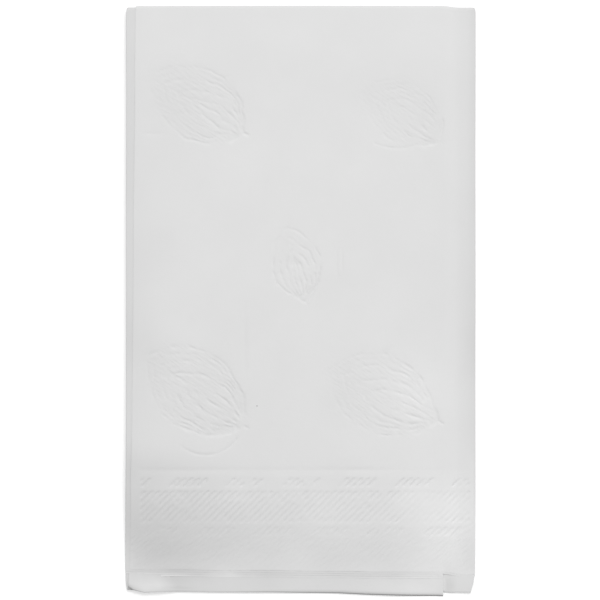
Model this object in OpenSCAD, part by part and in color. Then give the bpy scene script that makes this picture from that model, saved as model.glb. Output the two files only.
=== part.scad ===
// Paper dinner napkin: one two-ply tissue sheet, folded in four lengthwise and then in half across.
// It lies flat, with the cross fold at +Y, the cut ends at -Y and the underside at z = 0.
// Each half has four panels. Panel 0 is the innermost and panel 3 the outermost.

/* [Folded size] */
// Width of the folded napkin, between its outermost lengthwise folds
folded_w = 114.3; // [100:0.1:130]
// Length from the cross fold to the end of the longer half
folded_l = 192; // [170:0.5:220]
// Length by which the upper half ends short of the lower half
half_step = 7.2; // [4:0.1:15]
// Drift of both cut ends from square, over the folded width
cut_drift = 1; // [0:0.1:3]

/* [Tissue] */
// Thickness of the two-ply sheet
sheet_t = 0.3; // [0.25:0.01:0.4]
// Air gap between neighbouring layers
layer_gap = 0.15; // [0.1:0.01:0.25]

/* [Lengthwise folds] */
// Distance from the left fold to the free edge of the outer panel, at the cross fold
outer_lap = 3.2; // [2.5:0.1:8]
// Drift of that free edge towards the left fold, over the length of the upper half
outer_drift = 1.6; // [0:0.1:2]
// Distance from the left fold to the free edge of the innermost panel
inner_lap = 1.2; // [0.5:0.1:6]
// Distance by which the inner right fold ends short of the outer right fold
fold_step = 10.4; // [7:0.1:20]
// Drop of the two outer panels past the inner right fold
margin_drop = 0.5; // [0:0.05:0.6]
// Length over which the outer panels drop
margin_run = 5; // [3:0.1:6]

/* [Embossed band] */
// Depth of every embossed line
emboss_d = 0.1; // [0.05:0.01:0.15]
// Width of bare sheet beside the border line and the ribs
side_margin = 1.5; // [1:0.1:5]
// Distance from the cut end to the middle of the border line
border_y = 34; // [30:0.1:50]
// Width of the border line
border_w = 0.9; // [0.4:0.1:1.5]
// Distance from the border line to the first row of ribs
border_gap = 2.5; // [1:0.1:4]
// Height of a row of short ribs
short_h = 3.4; // [2:0.1:4]
// Height of the row of long ribs
long_h = 11; // [8:0.1:12]
// Gap between rows
row_gap = 0.8; // [0.4:0.1:1.2]
// Distance between neighbouring ribs
rib_pitch = 2.3; // [1.8:0.1:3]
// Width of one rib along its row
rib_w = 1; // [0.5:0.05:1.2]
// Rise of a rib for each millimetre that it leans
rib_slope = 1; // [0.8:0.1:2]
// Short ribs in a group
group_ribs = 5; // [3:1:12]
// Short ribs left out between groups
group_rest = 3; // [1:1:5]

/* [Embossed leaves] */
// Length of a leaf
leaf_l = 36; // [20:0.5:42]
// Width of a leaf
leaf_w = 23; // [15:0.5:28]
// Width of an embossed line in a leaf
line_w = 0.5; // [0.3:0.05:0.7]
// Pairs of long veins inside a leaf's outline
vein_pairs = 3; // [1:1:3]
// Length of the stem outside the outline
stem_l = 1.5; // [0:0.5:6]

/* [Hidden] */
$fn = 64;

outermost = 3;
pitch = sheet_t + layer_gap;
turn_r = sheet_t + layer_gap / 2;
stack_r = (outermost + 1) * pitch - layer_gap / 2;
left_x = -folded_w / 2;
right_x = folded_w / 2;
step_x = right_x - fold_step;

// Flat parts in the drop at the margin, and sides of the full circle at a fold's round edge
ramp_parts = 4;
turn_sides = 12;

// The lengths run from the axis of the cross fold. Half of what the turn of that fold
// takes from a panel, beside the panel inside it, comes off each of its two cut ends.
axis_y = folded_l / 2 - stack_r;
lower_l = axis_y + folded_l / 2;
upper_l = lower_l - half_step;
creep = PI * pitch / 2;

// Reach of a trimming shape past the sheet
past = 1;

// Rows of ribs, from the border line towards the cut end. Only the short ribs stand in groups,
// and a row's phase says how far into a group it starts.
row_heights = [short_h, long_h, short_h];
row_grouped = [true, false, true];
row_phases = [2, 0, 6];

// Width of a leaf's line at its two points
tip_w = 2 * line_w;

// Length that each pair of long veins loses beside the outline, as a share of the width it
// loses, and the share of the leaf that the midrib runs through
vein_taper = 0.8;
midrib_share = 0.8;

// Leaves: place as a share of half the width and half the length above the border, size, turn
leaves = [
    [-0.58, 0.59, 1, 148],
    [0.59, 0.55, 0.85, 144],
    [-0.02, -0.11, 0.7, 105],
    [-0.6, -0.66, 1.1, 144],
    [0.47, -0.68, 1.1, 154]
];

function panel_h(k) = (layer_gap + sheet_t) / 2 + k * pitch;
function panel_reach(k, upper) = upper ? upper_l + (outermost - k) * creep : lower_l - k * creep;
function panel_right(k) = (k < 2 ? step_x : right_x) - turn_r;

// Left edge of a panel, at the cross fold and at its cut end
function near_left(k) = left_x + (k == outermost ? outer_lap : k == 0 ? inner_lap : turn_r);
function far_left(k, upper) = near_left(k) + (k < outermost ? 0 : upper ? -outer_drift : outer_drift);

// Drop of a panel at a place across the width, as an even curve from level to level
function ease(u) = u * u * (3 - 2 * u);
function drop(k, x) = k < 2 ? 0 : margin_drop * ease(min(1, max(0, (x - step_x) / margin_run)));

// Distance by which a cut end falls short of the panel's reach, at a place across the width
function short_of(x) = cut_drift * (step_x - x) / folded_w;

function rows_above(i) = i == 0 ? 0 : rows_above(i - 1) + row_heights[i - 1] + row_gap;

// A layer of one panel's section, between two heights above the panel's own middle
module strip(k, left, low, high) {
    ramp = [for (i = [0 : ramp_parts]) step_x + i * margin_run / ramp_parts];
    xs = concat([left], k < 2 ? [] : ramp, [panel_right(k)]);
    polygon(concat(
        [for (x = xs) [x, panel_h(k) - drop(k, x) + high]],
        [for (i = [len(xs) - 1 : -1 : 0]) [xs[i], panel_h(k) - drop(k, xs[i]) + low]]
    ));
}

// Pressed fold that joins a panel to the one outside it: on the right for 0 and 2, on the left for 1
module turn(k) {
    on_right = k != 1;
    x = on_right ? panel_right(k) : near_left(k);
    translate([x, panel_h(k) + pitch / 2 - drop(k, x)])
        intersection() {
            circle(r = turn_r, $fn = turn_sides);
            translate([on_right ? 0 : -turn_r, -turn_r])
                square([turn_r, 2 * turn_r]);
        }
}

// Section across the folded sheet: four panels and the three turns between them
module section() {
    for (k = [0 : outermost])
        strip(k, near_left(k), -sheet_t / 2, sheet_t / 2);
    for (k = [0 : outermost - 1])
        turn(k);
}

// A plan shape through all the layers of a half
module through() {
    translate([0, 0, -past])
        linear_extrude(height = stack_r + 2 * past)
            children();
}

// A piece of the section, run from the cross fold to its cut end
module run(reach) {
    near = left_x - past;
    far = right_x + past;
    intersection() {
        rotate([90, 0, 0])
            linear_extrude(height = reach + past)
                children();
        through()
            polygon([[near, 0], [far, 0], [far, short_of(far) - reach], [near, short_of(near) - reach]]);
    }
}

module panel(k, upper) {
    near = near_left(k);
    far = far_left(k, upper);
    reach = panel_reach(k, upper);
    difference() {
        run(reach)
            strip(k, min(near, far), -sheet_t / 2, sheet_t / 2);
        if (near != far)
            through()
                polygon([
                    [left_x - past, past],
                    [near, past],
                    [near, 0],
                    [far, -reach],
                    [far, -reach - past],
                    [left_x - past, -reach - past]
                ]);
    }
}

module half(upper) {
    difference() {
        panel(outermost, upper);
        if (upper)
            embossing(panel_reach(outermost, upper));
    }
    for (k = [0 : outermost - 1]) {
        panel(k, upper);
        run(min(panel_reach(k, upper), panel_reach(k + 1, upper)))
            turn(k);
    }
}

module cross_fold() {
    rotate([0, 90, 0])
        rotate_extrude(angle = 180)
            mirror([1, -1])
                section();
}

// Lines embossed into the upper half's outer panel, which follow its drop at the right margin
module embossing(reach) {
    field_l = reach - border_y;
    intersection() {
        rotate([90, 0, 0])
            linear_extrude(height = reach)
                strip(outermost, left_x, sheet_t / 2 - emboss_d, sheet_t / 2 + emboss_d);
        linear_extrude(height = stack_r + past) {
            translate([0, -reach])
                band();
            for (place = leaves)
                translate([place[0] * folded_w / 2, (place[1] - 1) * field_l / 2])
                    rotate(place[3])
                        scale(place[2])
                            leaf();
        }
    }
}

// Border line and rows of ribs, with the cut end at y = 0
module band() {
    translate([left_x + outer_lap + side_margin, border_y - border_w / 2])
        square([folded_w - outer_lap - 2 * side_margin, border_w]);
    for (i = [0 : len(row_heights) - 1])
        translate([0, border_y - border_w / 2 - border_gap - rows_above(i) - row_heights[i]])
            rib_row(row_heights[i], row_grouped[i], row_phases[i]);
}

module rib_row(h, grouped, phase) {
    lean = h / rib_slope;
    from = left_x + outer_lap + side_margin;
    row_w = right_x - side_margin - from;
    before = ceil(lean / rib_pitch);
    intersection() {
        translate([from, 0])
            square([row_w, h]);
        for (i = [0 : before + floor(row_w / rib_pitch)])
            if (!grouped || (i + phase) % (group_ribs + group_rest) < group_ribs)
                translate([from + (i - before) * rib_pitch, 0])
                    polygon([[0, 0], [rib_w, 0], [rib_w + lean, h], [lean, h]]);
    }
}

// Shape between two arcs that meet in a point at either end, with its middle at the origin
module blade(l, w) {
    r = (l * l + w * w) / (4 * w);
    intersection() {
        translate([0, r - w / 2]) circle(r = r);
        translate([0, w / 2 - r]) circle(r = r);
    }
}

// The same shape as a line, which widens a little towards its two points
module blade_line(l, w) {
    difference() {
        blade(l, w);
        blade(l - 2 * tip_w, w - 2 * line_w);
    }
}

// Broad leaf, with its tip at +X: outline, midrib, stem and pairs of long veins. All of them
// part at the base.
module leaf() {
    for (i = [0 : vein_pairs]) {
        narrower = i * leaf_w / (vein_pairs + 1);
        shorter = narrower * vein_taper;
        translate([-shorter / 2, 0])
            blade_line(leaf_l - shorter, leaf_w - narrower);
    }
    translate([-leaf_l / 2 - stem_l, -line_w / 2])
        square([leaf_l * midrib_share + stem_l, line_w]);
}

module napkin() {
    color("white")
        translate([0, axis_y, stack_r]) {
            half(true);
            mirror([0, 0, 1])
                half(false);
            cross_fold();
        }
}

napkin();
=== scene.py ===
import math

import bmesh
import bpy
import numpy as np
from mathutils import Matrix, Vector, noise


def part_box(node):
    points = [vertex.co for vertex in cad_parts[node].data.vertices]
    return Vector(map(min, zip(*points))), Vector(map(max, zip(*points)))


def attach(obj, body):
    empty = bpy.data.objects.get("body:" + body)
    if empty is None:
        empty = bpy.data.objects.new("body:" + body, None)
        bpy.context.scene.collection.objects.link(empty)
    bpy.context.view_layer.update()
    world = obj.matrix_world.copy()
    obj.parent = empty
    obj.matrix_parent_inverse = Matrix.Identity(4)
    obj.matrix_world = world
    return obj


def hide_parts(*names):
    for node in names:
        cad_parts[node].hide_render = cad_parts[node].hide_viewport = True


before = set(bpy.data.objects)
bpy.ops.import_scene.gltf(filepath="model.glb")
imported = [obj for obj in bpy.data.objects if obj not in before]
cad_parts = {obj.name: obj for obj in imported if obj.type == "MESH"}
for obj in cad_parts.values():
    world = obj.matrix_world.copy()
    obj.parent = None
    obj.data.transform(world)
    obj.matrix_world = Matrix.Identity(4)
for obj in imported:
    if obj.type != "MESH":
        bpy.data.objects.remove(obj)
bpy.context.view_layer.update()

mm = 0.001


def ease(t):
    t = np.clip(t, 0, 1)
    return t * t * (3 - 2 * t)


def wander(points, size, seed):  # smooth noise from -1 to 1 at each point, with swells of about that size
    shift = Vector((seed * 7.3, seed * 3.1, seed * 5.7))
    return np.array([noise.noise(Vector(p) / size + shift) for p in points])


def flatPlaces(x, y):
    return np.stack([x, y, np.zeros_like(x)], axis=1)


def spot(x, y, cx, cy, rx, ry):  # 1 at the middle of a soft patch, whose place and half sizes are in mm
    return np.exp(-((x / mm - cx) / rx) ** 2 - ((y / mm - cy) / ry) ** 2)


def profile(x, table):  # a value that changes across the width, from pairs of x in mm and the value
    return np.interp(x / mm, *zip(*table))


# The folded sheet. Each half has four panels: panel 0 is the innermost and panel 3 the outermost.
sheet = {
    "thick": 0.3 * mm,
    "gap": 0.15 * mm,          # air between neighbouring layers
    "halfStep": 7.2 * mm,      # the upper half ends short of the lower one
    "cutDrift": 1.0 * mm,      # both cut ends drift from square, over the width
    "outerLap": 3.2 * mm,      # the outer panel's free edge, from the left fold
    "outerDrift": 1.6 * mm,    # drift of that edge, over the length
    "innerLap": 1.2 * mm,      # the innermost panel's free edge, from the left fold
    "foldStep": 10.4 * mm,     # the inner right fold, from the outer one
    "marginDrop": 0.5 * mm,    # drop of the two outer panels past the inner fold
    "marginRun": 5.0 * mm,
    "plySeam": 0.08 * mm,      # depth of the groove between the two plies, at the edges
    "edgeThin": 0.6,           # the plies are pressed together there, to this share of their thickness
    "edgeRun": 1.6 * mm,
    "edgeSettle": 0.185 * mm,  # how far the outer panel's free edge lies down on the panel below
    "settleRun": 4 * mm,
    "endSettle": 0.075 * mm,   # how far each layer's end lies down on the next, in the upper half
    "endRun": 5 * mm,
    "waver": 0.12 * mm,        # how far the folds stray from straight
    "waverL": 30 * mm,
    "freeWaver": 0.25 * mm,    # the same for the free edges and the cut ends
    "freeWaverL": 14 * mm,
    "freeSeeds": {"outer": 5, "inner": 6, "cut": 7},  # a turn's seed is its own number, 0 to 2
    "cell": 2.8 * mm,          # width of the faces in the outermost panel, before the embossing
    "hiddenCell": 9.0 * mm,    # and in the panels inside it
    "rampCell": 1.0 * mm,      # and where a panel drops at the margin
    "leastCell": 1.0 * mm,     # a column that all the layers share keeps this far from the others
    "upperRow": 2.8 * mm,      # length of the faces in the upper half, and in the lower one
    "lowerRow": 5.2 * mm,
    "turnParts": 5,            # faces round a pressed fold
    "foldRows": [0.12, 0.24, 0.36, 0.6, 0.9, 1.3, 1.8, 2.6],  # mm from the cross fold's crest
    "endRows": [0.2, 0.45, 0.8, 1.3, 2.2],  # mm from a cut end or a free edge
}

outer = 3
dropping = 2                  # from this panel outwards they reach past the inner right fold
low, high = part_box("napkin")
width = high.x - low.x
pitch = sheet["thick"] + sheet["gap"]
turnR = sheet["thick"] + sheet["gap"] / 2
turnL = math.pi * pitch / 2
innermost = pitch / 2         # height of panel 0 from the middle between the halves
middleZ = high.z / 2
axisY = high.y - middleZ      # where the cross fold's axis lies
lowerL = axisY - low.y
upperL = lowerL - sheet["halfStep"]
cutY = axisY - upperL         # where the upper half ends
creep = math.pi * pitch / 2   # what each panel further out takes from a half's length
stepX = high.x - sheet["foldStep"]
leftTurn, rightTurn, innerTurn = low.x + turnR, high.x - turnR, stepX - turnR
freeOuter = low.x + sheet["outerLap"]
freeInner = low.x + sheet["innerLap"]
flatUp = upperL + outer * creep + math.pi * innermost / 2
flatDown = lowerL + math.pi * innermost / 2

# The sheet across its width, from one free edge to the other: panels run between two places, and
# turns bend about one, bulging to their side. A face of 1 has the sheet's outer side turned out.
parts = [
    {"panel": 3, "ends": (freeOuter, rightTurn), "face": 1},
    {"turn": 2, "at": rightTurn, "side": 1},
    {"panel": 2, "ends": (rightTurn, leftTurn), "face": -1},
    {"turn": 1, "at": leftTurn, "side": -1},
    {"panel": 1, "ends": (leftTurn, innerTurn), "face": 1},
    {"turn": 0, "at": innerTurn, "side": 1},
    {"panel": 0, "ends": (innerTurn, freeInner), "face": -1},
]
flatW = 0
for part in parts:
    part["start"] = flatW
    flatW += turnL if "turn" in part else abs(part["ends"][1] - part["ends"][0])
    part["end"] = flatW
panelEnd = parts[0]["end"]
print("sheet laid flat: %.1f by %.1f mm" % (flatW / mm, (flatUp + flatDown) / mm))


def drop(x):
    return sheet["marginDrop"] * ease((x - stepX) / sheet["marginRun"])


def shortOf(x):
    return sheet["cutDrift"] * (stepX - x) / width


def spaced(a, b, cell):  # even places from a to b, without a itself
    return list(np.linspace(a, b, max(1, round(abs(b - a) / cell)) + 1))[1:]


def stopsBetween(a, b, ramp):  # where a panel's columns have to lie, so that all the layers bend alike
    stops = [*ramp]
    for x in [pair[0] * mm for pair in shape["cutKept"]]:
        if all(abs(x - other) > sheet["leastCell"] for other in (a, b, *stops)):
            stops.append(x)
    return [a, *sorted((x for x in stops if min(a, b) < x < max(a, b)), reverse=b < a), b]


def columns():
    marks = [0.0]
    for part in parts:
        if "turn" in part:
            marks += spaced(part["start"], part["end"], turnL / sheet["turnParts"])
            continue
        a, b = part["ends"]
        edge = [r * mm for r in sheet["endRows"]]
        if part["panel"] == outer:
            marks += edge
            a += edge[-1]
        if part["panel"] == 0:
            b += edge[-1]
        ramp = (stepX, stepX + sheet["marginRun"]) if part["panel"] >= dropping else ()
        stops = stopsBetween(a, b, ramp)
        for p, q in zip(stops, stops[1:]):
            cell = sheet["cell"] if part["panel"] == outer else sheet["hiddenCell"]
            cell = sheet["rampCell"] if ramp and ramp[0] < (p + q) / 2 < ramp[1] else cell
            marks += [part["start"] + abs(x - part["ends"][0]) for x in spaced(p, q, cell)]
        if part["panel"] == 0:
            marks += [part["end"] - r for r in reversed(edge[:-1])] + [part["end"]]
    return marks


def rowsTo(end, cell):
    fold = [r * mm for r in sheet["foldRows"]]
    edge = [end - r * mm for r in reversed(sheet["endRows"])]
    return fold + spaced(fold[-1], edge[0], cell) + edge[1:] + [end]


def rows():
    down = rowsTo(flatDown, sheet["lowerRow"])
    return [-r for r in reversed(down)] + [0.0] + rowsTo(flatUp, sheet["upperRow"])


# Where a place on the flat sheet comes to lie. u runs across it, v along it and w through it.
def stray(place, amount, size, seed):  # how far a fold or an edge strays sideways, along its length
    stops = np.arange(-flatDown, flatUp + size, size / 4)
    values = [noise.noise(Vector((s / size, seed * 3.7, 0.5))) for s in stops]
    return amount * np.interp(place, stops, values)


def strayFold(v, turn):
    return stray(v, sheet["waver"], sheet["waverL"], turn)


def strayFree(place, edge):
    return stray(place, sheet["freeWaver"], sheet["freeWaverL"], sheet["freeSeeds"][edge])


def turnAcross(part, t, v, w):
    k, side = part["turn"], part["side"]
    sag = drop(np.array(part["at"])) if k >= dropping else 0
    centre = innermost + (k + 0.5) * pitch - sag
    at = part["at"] + strayFold(v, k)
    x = at + side * (pitch / 2 + side * w) * np.sin(math.pi * t)
    mid = centre + pitch / 2 * np.cos(math.pi * t)
    h = centre + (pitch / 2 + side * w) * np.cos(math.pi * t)
    return x, mid, h


def edgeSettled(away, v):  # how far the outer panel lies down near its free edge, but for that edge's ends
    inside = np.where(v > 0, ease((flatUp - v) / sheet["endRun"]), 1)
    inside *= ease(np.abs(v) / sheet["endRun"])
    return sheet["edgeSettle"] * inside * (1 - ease(away / sheet["settleRun"]))


def panelAcross(part, t, v, w):
    k = part["panel"]
    a, b = [part["ends"][i] + strayFold(v, k - i) for i in (0, 1)]  # from turn k to turn k - 1
    if k == outer:
        drift = np.where(v > 0, -1, 1) * sheet["outerDrift"] * np.abs(v) / flatUp
        a = part["ends"][0] + drift + strayFree(v, "outer")
    if k == 0:
        b = part["ends"][1] + strayFree(v, "inner")
    x = a + (b - a) * t
    mid = innermost + k * pitch - (drop(x) if k >= dropping else 0)
    if k == outer:
        mid -= edgeSettled(x - a, v)
    return x, mid, mid + part["face"] * w


def foldAcross(u, v, w):  # across the width: x, then the height of the sheet's middle and of the place
    u = np.clip(u, 0, flatW)
    x, mid, h = np.zeros_like(u), np.zeros_like(u), np.zeros_like(u)
    for part in parts:
        here = (u >= part["start"]) & (u <= part["end"])
        t = (u[here] - part["start"]) / (part["end"] - part["start"])
        across = turnAcross if "turn" in part else panelAcross
        x[here], mid[here], h[here] = across(part, t, v[here], w[here])
    return x, mid, h


def foldOver(x, mid, h, v):  # round the cross fold
    run = np.abs(v)
    angle = np.minimum(run / mid, math.pi / 2)
    straight = np.maximum(run - math.pi / 2 * mid, 0) * (1 - shortOf(x) / lowerL)
    atEnd = ease(1 - (np.where(v > 0, flatUp, flatDown) - run) / sheet["freeWaverL"])
    straight += atEnd * strayFree(x, "cut")
    y = axisY + h * np.cos(angle) - straight
    z = middleZ + np.where(v > 0, 1, -1) * h * np.sin(angle)
    return y, z


# Embossing: the CAD source's border line, rows of twill ribs and five leaves, with the finer veins,
# the arcs, the creases and the wear, which only show here
emboss = {
    "depth": 0.22 * mm,
    "deepest": 0.26 * mm,     # no line goes through the sheet
    "soft": 0.25 * mm,        # half the width of a groove's soft wall
    "crestClear": 3 * mm,     # no line comes nearer to the cross fold
    "sideMargin": 1.5 * mm,
    "borderY": 34 * mm,       # middle of the border line, from the cut end
    "borderW": 0.9 * mm,
    "borderGap": 2.5 * mm,
    "rows": [(3.4 * mm, True, 2), (11 * mm, False, 0), (3.4 * mm, True, 6)],  # height, grouped, phase
    "rowGap": 0.8 * mm,
    "ribPitch": 2.3 * mm,
    "ribW": 1.0 * mm,
    "ribSlope": 1.0,
    "groupRibs": 5,
    "groupRest": 3,
    "leafL": 36 * mm,
    "leafW": 23 * mm,
    "lineW": 0.5 * mm,
    "veinPairs": 3,
    "veinTaper": 0.8,
    "midribShare": 0.8,
    "stemL": 1.5 * mm,
    "leaves": [  # place, as shares of half the field's width and length, then size and turn
        (-0.58, 0.59, 1, 148),
        (0.59, 0.55, 0.85, 144),
        (-0.02, -0.11, 0.7, 105),
        (-0.6, -0.66, 1.1, 144),
        (0.47, -0.68, 1.1, 154),
    ],
    "leafDepths": [  # of a leaf's lines, of its fine veins and of the crinkles inside it
        (0.9, 0.5, 1),
        (0.75, 0.5, 0.8),
        (1.8, 0.3, 0.4),
        (1.5, 1.0, 1.15),
        (0.9, 0.45, 1),
    ],
    "fineVeins": [0.5, 1.5],  # between the outline, which is vein 0, and the long veins
    "fineW": 0.4 * mm,
    "tipFade": 0.8,           # share of the depth that a leaf's lines lose towards its tip
    "crinkleSoft": 3 * mm,    # the crinkles fade out this far inside and outside the leaf's outline
    # How far a leaf's lines stray and over what length, with the seeds for sideways and lengthwise
    "sways": [(0.3 * mm, 2.6 * mm), (0.8 * mm, 5 * mm), (1.0 * mm, 13 * mm)],
    "swaySeeds": (5, 6),
    "fray": (0.22 * mm, 3 * mm, 8),  # how much the lines widen and narrow, over what length, and the seed
    "borderDepth": 0.8,
    "borderSoft": 1.1 * mm,   # the border's walls are wider
    "borderShift": 0.6 * mm,  # and it lies a little nearer the cut end
    "borderFade": (26, 38, 0.75),  # x in mm between which it fades, and the share lost past them
    "borderBreak": 0.3,       # share of its depth that breaks up
    "rowFade": 0.9 * mm,      # length over which the ribs fade out towards the ends of their row
    "ribDepth": 1.6,
    "worn": [  # x, y, half sizes along x and y in mm, and the share of the ribs' depth lost there
        (44, -67, 16, 6, 0.9),
        (-10, -79, 34, 6, 0.4),
        (-55, -80, 14, 6, 0.5),
        (46, -76, 9, 5, -0.5),
    ],
    # How the depth changes from place to place: the middle share, the least and the most, and each
    # noise with what it adds, its size and its seed
    "firm": (0.9, (0, 2), [(0.5, 12 * mm, 3)]),
    "broken": (0.8, (0.05, 1.5), [(2.0, 4.5 * mm, 4), (1.3, 2.2 * mm, 12)]),
    "brokenRibs": (0.9, (0.2, 1.5), [(1.2, 4 * mm, 9), (0.9, 2 * mm, 13)]),
    "bandMiddle": 8 * mm,     # where the faint twill below the ribs is strongest, from the cut end
    "bandHalf": 16 * mm,
    "arcs": [  # lines under two of the leaves, in mm but for the depth. Their ends are places in x.
        {"centre": (-30.8, -38.3), "radius": 12.2, "ends": (-38.5, -20.5), "depth": 1.0},
        {"centre": (31.7, 68.8), "radius": 19.3, "ends": (24, 39), "depth": 0.7},
    ],
    "arcBreak": 0.5,          # share of an arc's depth that breaks up
    "creases": [  # x, y, half sizes along x and y, and depth, in mm
        (-18, -12.4, 0.7, 11, 0.13),
        (12, 12.8, 0.35, 4, 0.16),
        (13.6, 12.8, 0.35, 3.6, 0.14),
        (-48.3, 54.1, 3.4, 0.4, 0.08),
    ],
    "upperRadii": (1.9, 1.0, 0.43),  # mm from a line within which the faces are halved, time by time
    "lowerRadii": (1.3, 0.6, 0.27),
}


def outsideBox(x, y, halfX, halfY):
    return np.maximum(np.abs(x) - halfX, np.abs(y) - halfY)


def outsideBlade(x, y, length, across):  # distance outside the shape between two arcs
    r = (length * length + across * across) / (4 * across)
    rise = r - across / 2
    return np.maximum(np.hypot(x, y - rise), np.hypot(x, y + rise)) - r


def outsideBladeLine(x, y, length, across, line):
    inside = outsideBlade(x, y, length - 4 * line, across - 2 * line)
    return np.maximum(outsideBlade(x, y, length, across), -inside)


def sway(places, seed):
    return sum(amount * wander(places, size, seed) for amount, size in emboss["sways"])


def leafPlaces(x, y, reach):  # coordinates on each leaf in turn, with its size
    fieldL = reach - emboss["borderY"]
    swayX, swayY = [sway(flatPlaces(x, y), seed) for seed in emboss["swaySeeds"]]
    for across, along, size, turn in emboss["leaves"]:
        dx = x - across * width / 2 + swayX
        dy = y - axisY - (along - 1) * fieldL / 2 + swayY
        c, s = math.cos(math.radians(turn)), math.sin(math.radians(turn))
        yield (dx * c + dy * s) / size, (dy * c - dx * s) / size, size


def outsideVein(x, y, i, line):  # the outline is vein 0, and each further one is shorter and narrower
    narrow = i * emboss["leafW"] / (emboss["veinPairs"] + 1)
    shorter = narrow * emboss["veinTaper"]
    return outsideBladeLine(x + shorter / 2, y, emboss["leafL"] - shorter, emboss["leafW"] - narrow, line)


def outsideLeaf(x, y):
    ribL = emboss["leafL"] * emboss["midribShare"] + emboss["stemL"]
    start = -emboss["leafL"] / 2 - emboss["stemL"]
    nearest = outsideBox(x - start - ribL / 2, y, ribL / 2, emboss["lineW"] / 2)
    for i in range(emboss["veinPairs"] + 1):
        nearest = np.minimum(nearest, outsideVein(x, y, i, emboss["lineW"]))
    return nearest


def outsideFineVeins(x, y):
    return np.minimum.reduce([outsideVein(x, y, i, emboss["fineW"]) for i in emboss["fineVeins"]])


def bandSides():
    return freeOuter + emboss["sideMargin"], high.x - emboss["sideMargin"]


def ribRows(x, up):  # for each row, the distance outside its nearest rib and outside the row
    left, right = bandSides()
    every = emboss["groupRibs"] + emboss["groupRest"]
    lean = emboss["ribSlope"] / math.hypot(1, emboss["ribSlope"])
    bottom = emboss["borderY"] - emboss["borderW"] / 2 - emboss["borderGap"]
    for rowH, grouped, phase in emboss["rows"]:
        bottom -= rowH
        before = math.ceil(rowH / emboss["ribSlope"] / emboss["ribPitch"])
        place = x - left - emboss["ribW"] / 2 - (up - bottom) / emboss["ribSlope"]
        rib = np.round(place / emboss["ribPitch"])
        across = (np.abs(place - rib * emboss["ribPitch"]) - emboss["ribW"] / 2) * lean
        box = outsideBox(x - (left + right) / 2, up - bottom - rowH / 2, (right - left) / 2, rowH / 2)
        shown = (rib + before + phase) % every < emboss["groupRibs"] if grouped else True
        yield np.where(shown, across, width), box
        bottom -= emboss["rowGap"]


def outsideRibs(x, up):  # up is measured from the cut end
    return np.minimum.reduce([np.maximum(across, box) for across, box in ribRows(x, up)])


def outsideBorder(x, up):
    left, right = bandSides()
    halfX, halfY = (right - left) / 2, emboss["borderW"] / 2
    return outsideBox(x - (left + right) / 2, up - emboss["borderY"], halfX, halfY)


def outsideArc(x, y, arc):  # the arc is the lower side of its circle
    cx, cy = arc["centre"]
    start, end = arc["ends"]
    line = np.abs(np.hypot(x / mm - cx, y / mm - cy) - arc["radius"]) * mm - emboss["lineW"] / 2
    ends = np.abs(x - (start + end) / 2 * mm) - (end - start) / 2 * mm
    return np.maximum(np.maximum(line, ends), y - cy * mm)


def outsideCrease(x, y, cx, cy, rx, ry):
    return outsideBox(x - cx * mm, y - cy * mm, rx * mm, ry * mm)


def outerReach(upper):  # from the cross fold's axis to the outer panel's cut end
    return upperL if upper else lowerL - outer * creep


def outsideLines(x, y, reach, fine):  # distance outside the nearest embossed line
    up = y - axisY + reach
    nearest = np.minimum(outsideBorder(x, up), outsideRibs(x, up))
    for crease in emboss["creases"]:
        nearest = np.minimum(nearest, outsideCrease(x, y, *crease[:4]))
    for arc in emboss["arcs"]:
        nearest = np.minimum(nearest, outsideArc(x, y, arc))
    for lx, ly, size in leafPlaces(x, y, reach):
        nearest = np.minimum(nearest, outsideLeaf(lx, ly) * size)
        if fine:
            nearest = np.minimum(nearest, outsideFineVeins(lx, ly) * size)
    return nearest


def groove(away, soft=emboss["soft"]):
    return 1 - ease(away / (2 * soft) + 0.5)


def uneven(places, middle, limits, noises):  # a share that changes from place to place
    share = middle
    for amount, size, seed in noises:
        share = share + amount * wander(places, size, seed)
    return np.clip(share, *limits)


def breaking(broken, share):  # depth of a line that breaks up by no more than this share
    return 1 - share + share * np.minimum(broken, 1)


def borderDeep(x, up, broken):
    start, end, less = emboss["borderFade"]
    faded = 1 - less * ease((x / mm - start) / (end - start))
    deep = emboss["borderDepth"] * breaking(broken, emboss["borderBreak"]) * faded
    return deep * groove(outsideBorder(x, up + emboss["borderShift"]), emboss["borderSoft"])


def ribsDeep(x, y, up, places):
    firm = emboss["ribDepth"] * np.ones_like(x)
    for *patch, less in emboss["worn"]:
        firm *= 1 - less * spot(x, y, *patch)
    firm *= uneven(places, *emboss["brokenRibs"])
    deep = np.zeros_like(x)
    for across, box in ribRows(x, up):
        faded = 1 - ease((box + emboss["rowFade"]) / emboss["rowFade"])
        deep = np.maximum(deep, firm * groove(across) * faded)
    return deep


def leavesDeep(x, y, reach, broken, fray):  # the depth of the leaves' lines, and 1 inside a leaf
    deep, leafArea = np.zeros_like(x), np.zeros_like(x)
    for (lx, ly, size), depths in zip(leafPlaces(x, y, reach), emboss["leafDepths"]):
        leafDepth, fineDepth, crinkled = depths
        fade = broken * (1 - emboss["tipFade"] * ease(lx / emboss["leafL"] + 0.5))
        deep = np.maximum(deep, leafDepth * fade * groove(outsideLeaf(lx, ly) * size + fray))
        deep = np.maximum(deep, fineDepth * fade * groove(outsideFineVeins(lx, ly) * size + fray))
        away = outsideBlade(lx, ly, emboss["leafL"], emboss["leafW"]) * size
        leafArea = np.maximum(leafArea, crinkled * groove(away, emboss["crinkleSoft"]))
    return deep, leafArea


def arcsDeep(x, y, broken):
    deep = np.zeros_like(x)
    for arc in emboss["arcs"]:
        depth = arc["depth"] * breaking(broken, emboss["arcBreak"])
        deep = np.maximum(deep, depth * groove(outsideArc(x, y, arc)))
    return deep


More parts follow.
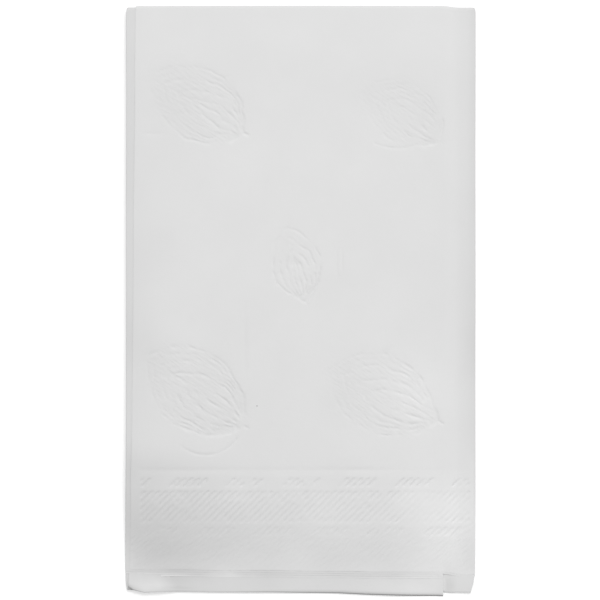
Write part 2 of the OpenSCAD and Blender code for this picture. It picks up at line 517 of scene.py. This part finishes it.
def pressing(x, y, reach):  # share of the full depth, then 1 inside a leaf and 1 where the faint twill is
    up = y - axisY + reach
    places = flatPlaces(x, y)
    broken = uneven(places, *emboss["broken"])
    amount, size, seed = emboss["fray"]
    fray = amount * wander(places, size, seed)
    deep = np.maximum(borderDeep(x, up, broken), ribsDeep(x, y, up, places))
    deep *= uneven(places, *emboss["firm"])
    leaves, leafArea = leavesDeep(x, y, reach, broken, fray)
    deep = np.maximum.reduce([deep, leaves, arcsDeep(x, y, broken)])
    return np.stack([deep, leafArea, ease(1 - np.abs(up - emboss["bandMiddle"]) / emboss["bandHalf"])])


# The flat sheet as one closed slab, with fine faces where it is embossed
outerFace = sheet["thick"] / 3  # only the slab's outer face lies higher


def flatSlab():
    across, along = columns(), rows()
    bm = bmesh.new()
    bmesh.ops.create_grid(bm, x_segments=len(across) - 1, y_segments=len(along) - 1, size=1)
    for v in bm.verts:
        i = round((v.co.x + 1) / 2 * (len(across) - 1))
        j = round((v.co.y + 1) / 2 * (len(along) - 1))
        v.co = Vector((across[i], along[j], 0))
    bmesh.ops.solidify(bm, geom=bm.faces[:], thickness=sheet["thick"])
    middle = sum(v.co.z for v in bm.verts) / len(bm.verts)
    for v in bm.verts:
        v.co.z -= middle
    bmesh.ops.recalc_face_normals(bm, faces=bm.faces[:])
    return bm


def splitPlies(bm):  # a groove round the rim, between the two plies
    walls = [e for e in bm.edges if abs(e.verts[0].co.z - e.verts[1].co.z) > sheet["thick"] / 2]
    made = bmesh.ops.subdivide_edges(bm, edges=walls, cuts=1)
    for v in [g for g in made["geom_inner"] if isinstance(g, bmesh.types.BMVert)]:
        v.co.x = min(max(v.co.x, sheet["plySeam"]), flatW - sheet["plySeam"])
        v.co.y = min(max(v.co.y, sheet["plySeam"] - flatDown), flatUp - sheet["plySeam"])


def refine(bm, upper, radius):  # halves the faces of an outer panel that are near a line
    faces, centres = [], []
    for f in bm.faces:
        centre = f.calc_center_median()
        onPanel = centre.x < panelEnd and (centre.y > 0) == upper
        if onPanel and all(v.co.z > outerFace for v in f.verts):
            faces.append(f)
            centres.append(centre[:])
    u, v, w = np.array(centres).T
    x, mid, h = foldAcross(u, v, w)
    y = foldOver(x, mid, h, v)[0]
    away = outsideLines(x, y, outerReach(upper), fine=upper)
    edges = {e for f, near in zip(faces, away < radius) if near for e in f.edges}
    bmesh.ops.subdivide_edges(bm, edges=list(edges), cuts=1, use_grid_fill=True)


# How the folded stack lies: soft swells, thin pressed ends, a lifted lip and corners that draw in
shape = {
    "swells": [  # x, y, half sizes along x and y, and rise, in mm
        (-48, -60, 18, 12, 0.5),
        (-44, -80, 20, 9, -0.25),
        (44, -62, 18, 22, 0.35),
        (36, -84, 22, 9, -0.1),
        (10, 20, 60, 80, 0.1),
    ],
    "unevenness": [(0.06 * mm, 14 * mm, 1), (0.03 * mm, 5 * mm, 2)],  # height, size and seed
    "cutPress": 0.66,         # share of the height that the stack loses towards its cut ends
    "cutRun": 34 * mm,
    "crestPress": 0.15,       # and towards the cross fold
    "crestRun": 20 * mm,
    # x in mm and the share of the pressed height that is left at the cut ends. Every panel has columns there.
    "cutKept": [
        (-57, 0.65), (-51, 0.65), (-46, 0.95), (-40, 0.95), (-33, 0.95), (-28, 0.5), (-23, 0.5),
        (-18, 0.95), (-3, 1), (0, 0.75), (8, 0.75), (12, 1.05), (31, 1.05), (36, 0.75), (44, 0.55),
        (48, 0.28), (52, 0.28), (57, 0.35),
    ],
    "keptRun": 12 * mm,       # this sets in over the last stretch
    "marginSink": 0.55 * mm,  # how far the upper half sinks further past the inner fold
    "sinkRun": 40 * mm,       # over this length from the cross fold
    "lipStart": 0.5 * mm,     # how far behind the upper half's end the lip sets in
    "lipRise": [  # x and rise of the lower half's cut end, in mm
        (-57, 1.3), (-51, 1.1), (-46, 1.0), (-40, 0.16), (-33, 0.2), (-28, 0.3), (-18, 0.24), (-3, 0.3),
        (0, 0.33), (8, 0.42), (12, 0.46), (31, 0.7), (44, 0.5), (48, 0.45), (52, 0.5), (57, 0.9),
    ],
    "lipReach": [  # x and how much further the lip reaches there, in mm
        (-57, 0.2), (-54.5, 1.1), (-51.5, 0.5), (-48, 0), (10, 0), (20, 0.3), (32, 0.6), (46.5, 0.7),
        (46.7, 1), (48.2, 1), (51, 0.3), (54, 0), (57, 0.2),
    ],
    "roll": 0.65 * mm,        # how far the last stretch of the lip turns down
    "rollRun": 0.8 * mm,
    "rollSpan": (-20, 20, 44, 48),  # x in mm between which the roll sets in, and then ends
    "cornerTaper": (0.6 * mm, 1.4 * mm),  # how far the lip's left and right corners draw in
    "cornerReach": 8 * mm,
    "topReach": 0.9 * mm,     # how far the top layer's left corner reaches back out
    "topRun": 4 * mm,
    "cornerPull": 2.2 * mm,   # how far the top layer's left corner is drawn back
    "pullRun": 7 * mm,
    "crestBow": 0.12 * mm,    # how far the cross fold's ends lie behind its middle
    "bowRun": 30 * mm,
    "crestRound": 0.3 * mm,   # how far its corners draw in
    "roundRun": 3 * mm,
    "leftDraw": 0.45 * mm,    # how far the left folds draw in, behind the band
    "drawFrom": -44.4 * mm,   # it sets in at this x, over the next stretch to the left
    "drawRun": 12 * mm,
    "drawL": 60 * mm,         # the length over which this sets in, from the upper half's cut end
}


def swell(x, y):
    rise = np.zeros_like(x)
    for *patch, up in shape["swells"]:
        rise += up * mm * spot(x, y, *patch)
    for height, size, seed in shape["unevenness"]:
        rise += height * wander(flatPlaces(x, y), size, seed)
    for *patch, down in emboss["creases"]:
        rise -= down * mm * spot(x, y, *patch)
    return rise


def squeezed(x, y):  # share of the stack's height that is left
    left = 1 - shape["cutPress"] * ease((cutY + shape["cutRun"] - y) / shape["cutRun"])
    left -= shape["crestPress"] * ease((y - high.y + shape["crestRun"]) / shape["crestRun"])
    kept = profile(x, shape["cutKept"])
    return left * (1 - (1 - kept) * ease((cutY + shape["keptRun"] - y) / shape["keptRun"]))


def drawnAcross(x, y, lip, topLayer):  # x, drawn in at the corners and along the left folds
    side = np.clip((np.abs(x) - high.x + shape["cornerReach"]) / shape["cornerReach"], 0, 1)
    crest = ease((y - high.y + shape["roundRun"]) / shape["roundRun"])
    inward = np.where(x < 0, *shape["cornerTaper"]) * lip ** 2 * side
    inward += shape["crestRound"] * crest ** 2 * side ** 4
    inward -= shape["topReach"] * lip * topLayer * (1 - ease((x - low.x) / shape["topRun"]))
    left = ease((shape["drawFrom"] - x) / shape["drawRun"])
    inward += shape["leftDraw"] * left * ease((y - cutY) / shape["drawL"])
    return x - np.sign(x) * inward


def drawnAlong(x, y, lip, topLayer):  # y, with the bowed cross fold and the lip's uneven end
    bow = shape["crestBow"] * (x / high.x) ** 2 * ease((y - high.y + shape["bowRun"]) / shape["bowRun"])
    pull = shape["cornerPull"] * lip * topLayer * (1 - ease((x - low.x) / shape["pullRun"]))
    pull -= lip * profile(x, shape["lipReach"]) * mm
    return y - bow + pull


def rolledRim(x, lip, away):  # how far the lip's rim turns down
    start, full, last, end = shape["rollSpan"]
    rolled = ease((x / mm - start) / (full - start)) * (1 - ease((x / mm - last) / (end - last)))
    return shape["roll"] * lip * (1 - ease(away / shape["rollRun"])) * rolled


def lay(x, y, z, upper, topLayer, away):  # the plain folded form, settled as the real one lies
    lip = ease((cutY + shape["lipStart"] - y) / (cutY - low.y))
    lift = profile(x, shape["lipRise"]) * mm * lip * np.minimum(z / middleZ, 1)
    lip = np.where(upper, 0, lip)
    sunk = shape["marginSink"] * ease((x - stepX) / sheet["marginRun"])
    z = np.where(upper, z - sunk * ease((high.y - y) / shape["sinkRun"]), z)
    lifted = z * squeezed(x, y) + swell(x, y) * z / high.z + lift - rolledRim(x, lip, away) * z / middleZ
    return drawnAcross(x, y, lip, topLayer), drawnAlong(x, y, lip, topLayer), lifted


# Painted light and shade in the sheet's colour: these tones darken the tissue where the real stack lies in
# shade, at steps, folds, recesses and slopes, and lighten it where it catches light.
paintedLightAndShade = {
    "strip": (0.945, 0.97),   # painted shade beside the outer panel's free edge, where its step shades the panel below, near the cross fold and near the cut end
    "stripFade": (5, 45),     # y in mm between which it changes
    # painted shade on the lower half's lip, below the upper half's cut end
    "lip": 0.97,
    "margin": 0.97,           # painted shade past the inner fold, where the outer panels drop away
    "marginStart": 2 * mm,
    "marginFade": 6 * mm,
    "leaf": 0.983,            # painted shade of the crinkles inside a leaf, and of the faint twill
    "band": 0.966,
    "crest": 0.94,            # painted shade at the pressed cross fold, where the sheet curves away
    "crestStart": 2.4 * mm,
    "crestFade": 1.6 * mm,
    "rim": [  # x in mm and the tone at the lip's cut edge, which lies in shadow
        (-57, 0.6), (-52, 0.65), (-49, 1), (-44, 0.7), (-30, 0.8), (-10, 0.55), (10, 0.33), (30, 0.15),
        (46.5, 0.1), (47, 0.8), (57, 0.8),
    ],
    "rimRun": 0.52 * mm,
    "lightAndShadePatches": [  # painted light (above zero) and painted shade (below zero) in soft patches: x, y, half sizes along x and y in mm, and what they add
        # The field with the leaves
        (-40, 66, 14, 10, -0.012),
        (27, 72, 10, 8, -0.014),
        (0, 42, 34, 12, 0.012),
        (-50, 40, 14, 34, -0.014),
        (-2, 5, 7, 10, 0.014),
        (-50, -15, 6, 8, -0.02),
        (-18, -12.4, 1.4, 9, -0.012),
        (47, -20, 5, 40, -0.014),
        (38, -28, 14, 12, 0.04),
        (37, -34, 9, 9, 0.032),
        (-21, -34, 5, 5, -0.012),
        (8, -34, 6, 5, -0.01),
        (-32, -44, 12, 5, 0.012),
        # Along the left and the right fold
        (-57, -8, 11, 34, -0.04),
        (-57, -13, 2.5, 9, -0.03),
        (-57, -52, 2.5, 6, -0.02),
        (-56.4, -84, 2.4, 6, 0.06),
        (57, -5, 6, 34, -0.035),
        (57, -13, 4, 10, -0.03),
        (57, -72, 5, 12, 0.03),
        # Above the border line
        (-50, -54, 12, 6, -0.03),
        (-40, -54, 22, 3.5, -0.022),
        (10, -54, 14, 3.5, -0.012),
        (48, -54, 5, 3.5, -0.02),
        # The rows of ribs
        (-54, -74, 27, 23, -0.12),
        (-14, -74, 34, 16, -0.035),
        (48, -74, 12, 20, 0.07),
        (52, -74, 10, 14, 0.025),
        (0, -59.5, 50, 2.5, -0.007),
        (10, -66, 46, 10, 0.02),
        (40, -66, 10, 10, 0.02),
        (-41, -63, 6, 5, 0.02),
        (-21, -63, 5, 4, 0.02),
        (-1.7, -63.5, 5, 4, -0.012),
        (37, -63, 5, 4, 0.02),
        (8, -73, 6, 5, 0.01),
        (25, -73, 30, 6, 0.008),
        (28, -73, 30, 6, 0.014),
        # Below the ribs
        (-53, -83, 5, 5, 0.04),
        (-44, -83, 13, 5, -0.055),
        (-21, -83, 6, 5, 0.02),
        (-1.7, -83, 6, 5, 0.012),
        (2, -83, 8, 5, 0.03),
        (14, -84, 20, 4, -0.02),
        (42, -83, 10, 6, 0.022),
        (45, -82, 9, 6, 0.042),
        # Along the upper half's cut end
        (-40, -88.4, 8, 1.15, -0.085),
        (-41, -90.5, 4, 2, 0.045),
        (-41, -90.8, 4, 1.2, 0.02),
        (-23, -90.3, 5, 1.8, 0.07),
        (-21, -90.8, 4, 1.4, 0.022),
        (-12, -89.2, 9, 1.5, -0.042),
        (12, -89.5, 10, 1.5, -0.014),
        (23, -90.5, 9, 2, -0.022),
        (30, -89.6, 6, 1.2, -0.02),
        (38, -89.5, 8, 1.2, -0.018),
        # The lip
        (-56.5, -95, 2.4, 1.2, -0.24),
        (-50, -94.2, 3.5, 0.9, 0.045),
        (-47.5, -91.5, 7.5, 2.6, 0.16),
        (-39.7, -93.6, 1.6, 1.0, -0.12),
        (-11.5, -92.7, 6, 2, -0.03),
        (38, -94, 9, 4, 0.05),
        (47, -92.2, 0.6, 3.6, 0.12),
        (48.2, -92, 2.8, 4, -0.12),
        (54.5, -93, 2.2, 3, 0.04),
    ],
}


# The painted light and shade, as a share of the tissue's white, at each place on the sheet
def paintedShadingOf(x, y, upper, outside, leafArea, bandArea, away):
    near, far = paintedLightAndShade["strip"]
    start, end = paintedLightAndShade["stripFade"]
    strip = far + (near - far) * ease((y / mm - start) / (end - start))
    paintedShading = np.where(outside, 1, strip) * np.where(upper, 1, paintedLightAndShade["lip"])
    paintedShading *= 1 - (1 - paintedLightAndShade["leaf"]) * leafArea - (1 - paintedLightAndShade["band"]) * bandArea
    paintedShading *= 1 - (1 - paintedLightAndShade["crest"]) * ease((y - high.y + paintedLightAndShade["crestStart"]) / paintedLightAndShade["crestFade"])
    paintedShading *= 1 - (1 - paintedLightAndShade["margin"]) * ease((x - stepX - paintedLightAndShade["marginStart"]) / paintedLightAndShade["marginFade"])
    for *patch, more in paintedLightAndShade["lightAndShadePatches"]:
        paintedShading += more * spot(x, y, *patch)
    rim = profile(x, paintedLightAndShade["rim"])
    return np.where(upper, paintedShading, paintedShading * (1 - (1 - rim) * (1 - ease(away / paintedLightAndShade["rimRun"]))))


def thinned(u, v, w):  # the plies are pressed together at the free edges and the cut ends
    away = np.minimum(np.minimum(u, flatW - u), np.minimum(flatUp - v, v + flatDown))
    return w * (sheet["edgeThin"] + (1 - sheet["edgeThin"]) * ease(away / sheet["edgeRun"]))


def settled(mid, v):  # how far the upper half's layers lie down towards their cut ends
    layer = (mid - innermost) / pitch + 1
    return np.where(v > 0, layer * sheet["endSettle"] * (1 - ease((flatUp - v) / sheet["endRun"])), 0)


def embossed(u, v, w, x, y):  # w with the outer face pressed in, then the leaves' and the twill's areas
    found = np.zeros((3, len(x)))
    for upper in (True, False):
        here = (u < panelEnd) & (w > outerFace) & ((v > 0) == upper) & (np.abs(v) > emboss["crestClear"])
        found[:, here] = pressing(x[here], y[here], outerReach(upper))
    deep, leafArea, bandArea = found
    return w - np.minimum(emboss["depth"] * deep, emboss["deepest"]), leafArea, bandArea


def foldSheet(bm):  # the lines are placed on the plain folded sheet, before its edges are pressed thin
    u, v, w = np.array([p.co[:] for p in bm.verts]).T
    x, mid, h = foldAcross(u, v, w)
    y = foldOver(x, mid, h, v)[0]
    w, leafArea, bandArea = embossed(u, v, w, x, y)
    x, mid, h = foldAcross(u, v, thinned(u, v, w))
    h -= settled(mid, v)
    y, z = foldOver(x, mid, h, v)
    away = np.minimum(flatUp - v, v + flatDown)
    # painted light and shade, kept as an attribute for the tissue's colour
    paintedShading = paintedShadingOf(x, y, v > 0, u < panelEnd, leafArea, bandArea, away)
    x, y, z = lay(x, y, z, v > 0, u > parts[-1]["start"], away)
    for p, co in zip(bm.verts, np.stack([x, y, z], axis=1)):
        p.co = co
    return {"paintedShading": paintedShading, "leafArea": leafArea, "bandArea": bandArea}


def sharpRims(bm, degrees=50):
    for e in bm.edges:
        e.smooth = len(e.link_faces) == 2 and e.calc_face_angle(0) < math.radians(degrees)
    for f in bm.faces:
        f.smooth = True


def foldedNapkin():
    bm = flatSlab()
    splitPlies(bm)
    print("slab:", len(bm.faces), "faces")
    for upper, radii in ((True, emboss["upperRadii"]), (False, emboss["lowerRadii"])):
        for radius in radii:
            refine(bm, upper, radius * mm)
    print("refined for the embossing:", len(bm.faces), "faces")
    masks = foldSheet(bm)
    sharpRims(bm)
    mesh = bpy.data.meshes.new("foldedNapkin")
    bm.to_mesh(mesh)
    bm.free()
    for name, values in masks.items():
        layer = mesh.attributes.new(name, "FLOAT", "POINT")
        layer.data.foreach_set("value", values.astype(np.float32))
    napkin = bpy.data.objects.new("foldedNapkin", mesh)
    bpy.context.collection.objects.link(napkin)
    mesh.calc_loop_triangles()
    print("folded napkin:", len(mesh.loop_triangles), "triangles")
    return napkin


napkin = foldedNapkin()


# The tissue's finish
tissue = {
    "colour": (0.785, 0.785, 0.785),
    "roughness": 0.9,
    "specular": 0.25,
    "cloudSize": 18 * mm,     # soft patches, lighter and darker
    "cloudNoise": (0.3, 0.7),  # the noise at which they are darkest and lightest
    "cloudDepth": 0.012,
    "fibreSize": 1.1 * mm,
    "fibreHeight": 0.015 * mm,
    "crepeSize": (3.0 * mm, 0.45 * mm, 2.5 * mm),  # length, pitch and height of the fine crepe wrinkles
    "crepeHeight": 0.008 * mm,
    "fleck": (-14.07 * mm, -34.5 * mm),  # a dark speck in the pulp
    "fleckR": (0.1 * mm, 0.25 * mm),  # within the first it is darkest, and at the second it ends
    "fleckColour": (0.25, 0.24, 0.23, 1),
    "crinkleSize": (3.4 * mm, 0.9 * mm),  # short strokes inside the leaves, along them
    "crinkleTurn": math.radians(146),
    "crinkleHeight": 0.13 * mm,
    "twillSize": (3.2 * mm, 0.9 * mm),  # faint twill below the ribs, which slopes as they do
    "twillTurn": math.atan(emboss["ribSlope"]),
    "twillHeight": 0.22 * mm,
}


def makeNode(tree, kind, settings=None, inputs=None):
    node = tree.nodes.new(kind)
    for name, value in (settings or {}).items():
        setattr(node, name, value)
    for name, value in (inputs or {}).items():
        node.inputs[name].default_value = value
    return node


def mapped(tree, value, start, end, toStart, toEnd):
    node = makeNode(tree, "ShaderNodeMapRange", inputs={
        "From Min": start, "From Max": end, "To Min": toStart, "To Max": toEnd})
    tree.links.new(value, node.inputs["Value"])
    return node.outputs["Result"]


def cloudsAndPaintedShading(tree, where):  # the sheet's own tone in soft clouds, times the painted light and shade
    clouds = makeNode(tree, "ShaderNodeTexNoise", inputs={"Scale": 1 / tissue["cloudSize"], "Detail": 3})
    tree.links.new(where, clouds.inputs["Vector"])
    darkest, lightest = 1 - tissue["cloudDepth"], 1 + tissue["cloudDepth"]
    cloudTone = mapped(tree, clouds.outputs["Fac"], *tissue["cloudNoise"], darkest, lightest)
    # the painted light and shade from the mesh
    paintedShadingNode = makeNode(tree, "ShaderNodeAttribute", {"attribute_name": "paintedShading"})
    both = makeNode(tree, "ShaderNodeMath", {"operation": "MULTIPLY"})
    tree.links.new(cloudTone, both.inputs[0])
    tree.links.new(paintedShadingNode.outputs["Fac"], both.inputs[1])
    return both.outputs[0]


def tissueColour(tree, where):  # white in that tone, with its painted light and shade and the speck
    tint = makeNode(tree, "ShaderNodeVectorMath", {"operation": "SCALE"})
    tint.inputs[0].default_value = tissue["colour"]
    tree.links.new(cloudsAndPaintedShading(tree, where), tint.inputs["Scale"])
    away = makeNode(tree, "ShaderNodeVectorMath", {"operation": "DISTANCE"})
    away.inputs[1].default_value = (*tissue["fleck"], high.z)
    tree.links.new(where, away.inputs[0])
    inFleck = mapped(tree, away.outputs["Value"], *tissue["fleckR"], 1, 0)
    speckled = makeNode(tree, "ShaderNodeMixRGB", inputs={"Color2": tissue["fleckColour"]})
    tree.links.new(inFleck, speckled.inputs["Fac"])
    tree.links.new(tint.outputs[0], speckled.inputs["Color1"])
    return speckled.outputs["Color"]


def fibres(tree, where):
    texture = makeNode(tree, "ShaderNodeTexNoise", inputs={"Scale": 1 / tissue["fibreSize"], "Detail": 4})
    tree.links.new(where, texture.inputs["Vector"])
    return texture.outputs["Fac"]


def crepe(tree, where):
    place = makeNode(tree, "ShaderNodeMapping")
    place.inputs["Scale"].default_value = [1 / size for size in tissue["crepeSize"]]
    texture = makeNode(tree, "ShaderNodeTexNoise", inputs={"Scale": 1, "Detail": 2})
    tree.links.new(where, place.inputs["Vector"])
    tree.links.new(place.outputs[0], texture.inputs["Vector"])
    return texture.outputs["Fac"]


def strokes(tree, where, turn, size, mask):  # strokes of that size and turn, only where the mask is
    place = makeNode(tree, "ShaderNodeMapping", {"vector_type": "TEXTURE"})
    place.inputs["Rotation"].default_value = (0, 0, turn)
    place.inputs["Scale"].default_value = (*size, size[1])
    texture = makeNode(tree, "ShaderNodeTexNoise", inputs={"Scale": 1, "Detail": 1})
    area = makeNode(tree, "ShaderNodeAttribute", {"attribute_name": mask})
    masked = makeNode(tree, "ShaderNodeMath", {"operation": "MULTIPLY"})
    tree.links.new(where, place.inputs["Vector"])
    tree.links.new(place.outputs[0], texture.inputs["Vector"])
    tree.links.new(texture.outputs["Fac"], masked.inputs[0])
    tree.links.new(area.outputs["Fac"], masked.inputs[1])
    return masked.outputs[0]


def whiteTissue():
    material = bpy.data.materials.new("whiteTissue")
    material.use_nodes = True
    tree = material.node_tree
    shader = tree.nodes["Principled BSDF"]
    shader.inputs["Roughness"].default_value = tissue["roughness"]
    shader.inputs["Specular IOR Level"].default_value = tissue["specular"]
    where = makeNode(tree, "ShaderNodeTexCoord").outputs["Object"]
    tree.links.new(tissueColour(tree, where), shader.inputs["Base Color"])
    textures = {
        "fibreHeight": fibres(tree, where),
        "crepeHeight": crepe(tree, where),
        "crinkleHeight": strokes(tree, where, tissue["crinkleTurn"], tissue["crinkleSize"], "leafArea"),
        "twillHeight": strokes(tree, where, tissue["twillTurn"], tissue["twillSize"], "bandArea"),
    }
    before = None
    for height, texture in textures.items():
        bump = makeNode(tree, "ShaderNodeBump", inputs={"Strength": 1, "Distance": tissue[height]})
        tree.links.new(texture, bump.inputs["Height"])
        if before:
            tree.links.new(before.outputs[0], bump.inputs["Normal"])
        before = bump
    tree.links.new(before.outputs[0], shader.inputs["Normal"])
    return material


napkin.data.materials.append(whiteTissue())
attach(napkin, "root")
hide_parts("napkin")
print("tissue finished")


# The studio: a pale floor, a soft lamp past the cross fold and an even sky
studio = {
    "floorSize": 4.0,
    "floorColour": (0.8, 0.8, 0.8, 1),
    "floorGlow": 0.36,        # lifts the floor to white for the camera alone
    "sky": 0.62,              # what the sky adds to a white surface
    "lamp": 0.34,             # what the lamp adds to it
    "lampPlace": (0.5, 1.8, 2.3),
    "lampSize": 1.4,
    "lens": 200,
    "sensor": 36,
    "photoWidth": 195.4 * mm,  # what the photo covers, at the napkin's top
    "photoMiddle": (-0.065 * mm, 0),
}


def whiteFor(tree):  # 1 where the camera, a reflection or a clear surface looks
    path = makeNode(tree, "ShaderNodeLightPath")
    first = makeNode(tree, "ShaderNodeMath", {"operation": "MAXIMUM"})
    second = makeNode(tree, "ShaderNodeMath", {"operation": "MAXIMUM"})
    tree.links.new(path.outputs["Is Camera Ray"], first.inputs[0])
    tree.links.new(path.outputs["Is Glossy Ray"], first.inputs[1])
    tree.links.new(first.outputs[0], second.inputs[0])
    tree.links.new(path.outputs["Is Transmission Ray"], second.inputs[1])
    return second.outputs[0]


def paleFloor():
    bm = bmesh.new()
    bmesh.ops.create_grid(bm, x_segments=1, y_segments=1, size=studio["floorSize"] / 2)
    mesh = bpy.data.meshes.new("floor")
    bm.to_mesh(mesh)
    bm.free()
    floor = bpy.data.objects.new("floor", mesh)
    bpy.context.collection.objects.link(floor)
    material = bpy.data.materials.new("paleFloor")
    material.use_nodes = True
    tree = material.node_tree
    tree.nodes.clear()
    matt = makeNode(tree, "ShaderNodeBsdfDiffuse", inputs={"Color": studio["floorColour"]})
    glow = makeNode(tree, "ShaderNodeEmission")
    level = makeNode(tree, "ShaderNodeMath", {"operation": "MULTIPLY"})
    level.inputs[1].default_value = studio["floorGlow"]
    total = makeNode(tree, "ShaderNodeAddShader")
    out = makeNode(tree, "ShaderNodeOutputMaterial")
    tree.links.new(whiteFor(tree), level.inputs[0])
    tree.links.new(level.outputs[0], glow.inputs["Strength"])
    tree.links.new(matt.outputs[0], total.inputs[0])
    tree.links.new(glow.outputs[0], total.inputs[1])
    tree.links.new(total.outputs[0], out.inputs["Surface"])
    mesh.materials.append(material)
    return floor


def evenSky():
    world = bpy.data.worlds.new("sky")
    world.use_nodes = True
    tree = world.node_tree
    tree.nodes.clear()
    light = makeNode(tree, "ShaderNodeBackground", inputs={"Strength": studio["sky"]})
    seen = makeNode(tree, "ShaderNodeBackground", inputs={"Strength": 1})
    for background in (light, seen):
        background.inputs["Color"].default_value = (1, 1, 1, 1)
    mix = makeNode(tree, "ShaderNodeMixShader")
    out = makeNode(tree, "ShaderNodeOutputWorld")
    tree.links.new(whiteFor(tree), mix.inputs[0])
    tree.links.new(light.outputs[0], mix.inputs[1])
    tree.links.new(seen.outputs[0], mix.inputs[2])
    tree.links.new(mix.outputs[0], out.inputs["Surface"])
    bpy.context.scene.world = world


def softLamp():
    place = Vector(studio["lampPlace"])
    data = bpy.data.lights.new("softLamp", "AREA")
    data.shape = "SQUARE"
    data.size = studio["lampSize"]
    slant = place.z / place.length
    data.energy = studio["lamp"] * math.pi ** 2 * place.length_squared / slant
    lamp = bpy.data.objects.new("softLamp", data)
    lamp.location = place
    lamp.rotation_euler = (-place).to_track_quat("-Z", "Y").to_euler()
    bpy.context.collection.objects.link(lamp)


def overheadCamera():
    data = bpy.data.cameras.new("camera")
    data.lens = studio["lens"]
    data.sensor_width = studio["sensor"]
    camera = bpy.data.objects.new("camera", data)
    away = studio["photoWidth"] * studio["lens"] / studio["sensor"]
    camera.location = (*studio["photoMiddle"], high.z + away)
    bpy.context.collection.objects.link(camera)
    bpy.context.scene.camera = camera


paleFloor()
evenSky()
softLamp()
overheadCamera()
bpy.context.scene.view_settings.view_transform = "Standard"
print("studio ready")
